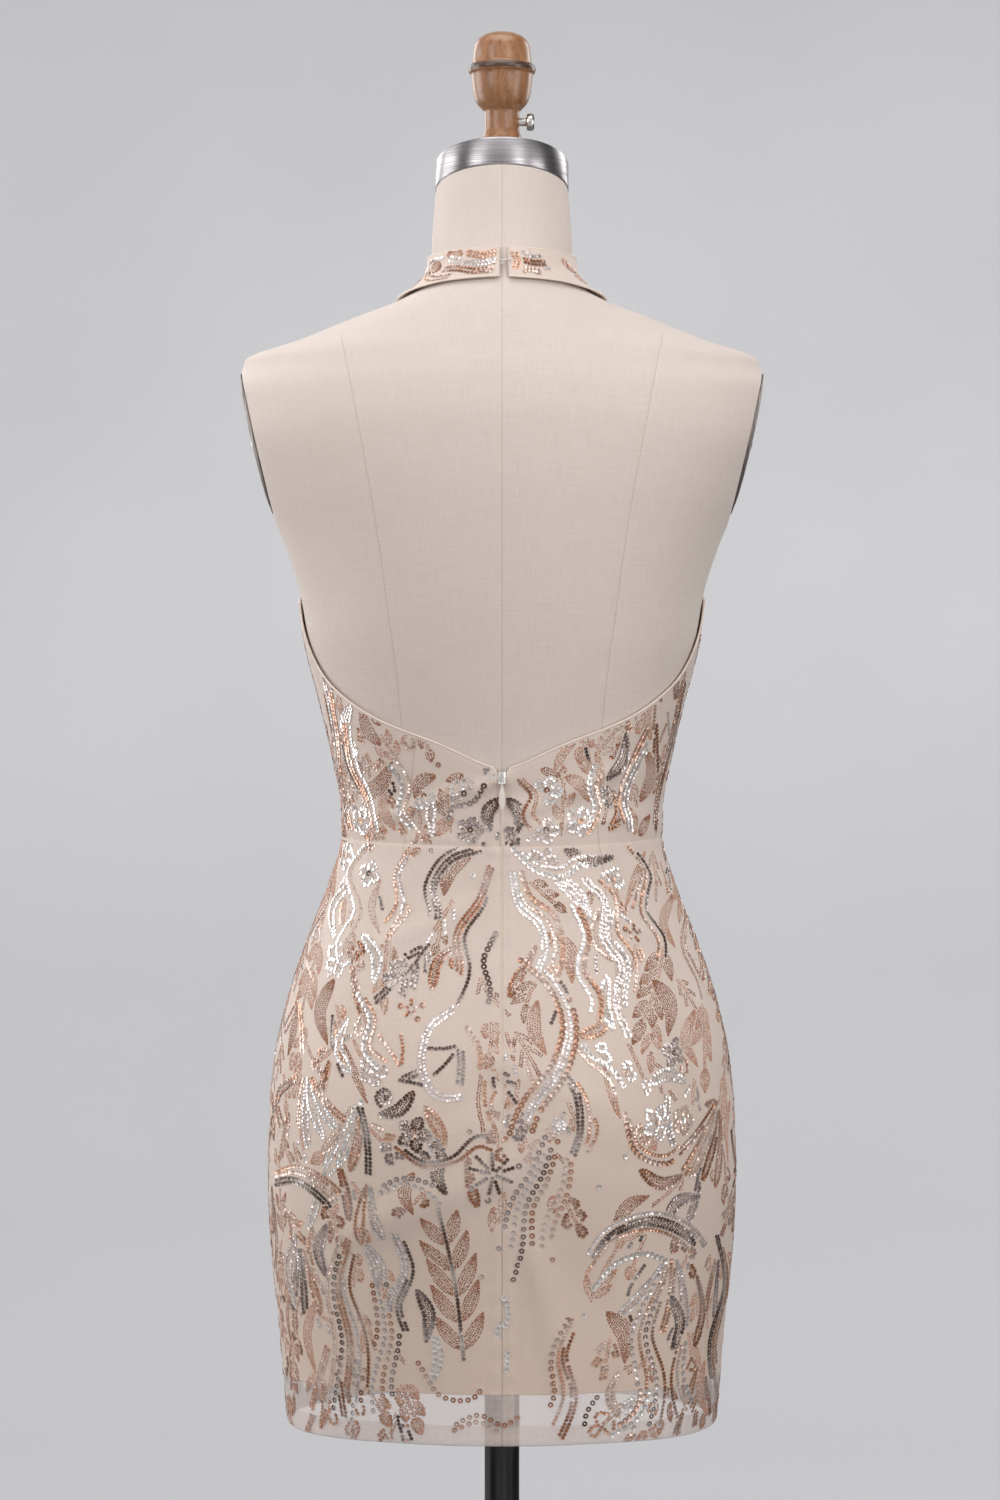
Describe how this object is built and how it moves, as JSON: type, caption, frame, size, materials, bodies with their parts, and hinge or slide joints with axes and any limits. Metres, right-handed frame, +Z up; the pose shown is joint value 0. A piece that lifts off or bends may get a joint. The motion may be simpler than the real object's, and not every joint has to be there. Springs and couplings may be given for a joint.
{
  "type": "cocktail dress on a limbless dress form",
  "caption": "Short fitted halter dress with an open low back and a centre back zip, on a limbless dress form with a pole and a round base.",
  "frame": {"origin": "centre of the base's underside, on the floor and on the pole's axis", "axes": "+Z up the pole; +Y to the dress's front; -Y to its back, with the zip; +X to the wearer's right"},
  "size_m": [0.4, 0.4, 1.6206],
  "materials": {
    "net": "sheer net sewn with sequins, backed by nude lining",
    "lining": "soft satin",
    "zip": "satin",
    "nickel": "plated",
    "linen": "plain weave, matt",
    "steel": "brushed",
    "wood": "turned and varnished",
    "enamel": "satin black"
  },
  "bodies": {
    "dress_and_form": {"skirt_front": "net", "skirt_back_left": "net", "skirt_back_right": "net", "bodice_front": "net", "bodice_back_left": "net", "bodice_back_right": "net", "neckband": "net", "lining_front": "lining", "lining_back_left": "lining", "lining_back_right": "lining", "zip_chain": "zip", "zip_slider": "nickel", "neck_hook": "nickel", "neck_eye": "nickel", "form_torso": "linen", "arm_plate_left": "steel", "arm_plate_right": "steel", "neck_cap": "steel", "finial": "wood", "pole": "enamel", "pole_flange": "enamel", "base": "enamel"},
    "pull_tab": {"zip_pull": "zip"},
    "thumbscrew": {"neck_screw": "nickel"}
  },
  "joints": [
    {"name": "zip_pull_swing", "type": "hinge", "parent": "dress_and_form", "child": "pull_tab", "pos_m": [0, -0.08732, 1.0765], "axis": [-1, 0, 0], "range_deg": [0, 150]},
    {"name": "neck_screw_turn", "type": "hinge", "parent": "dress_and_form", "child": "thumbscrew", "pos_m": [0.018, 0.02, 1.5554], "axis": [1, 0, 0], "continuous": true}
  ]
}
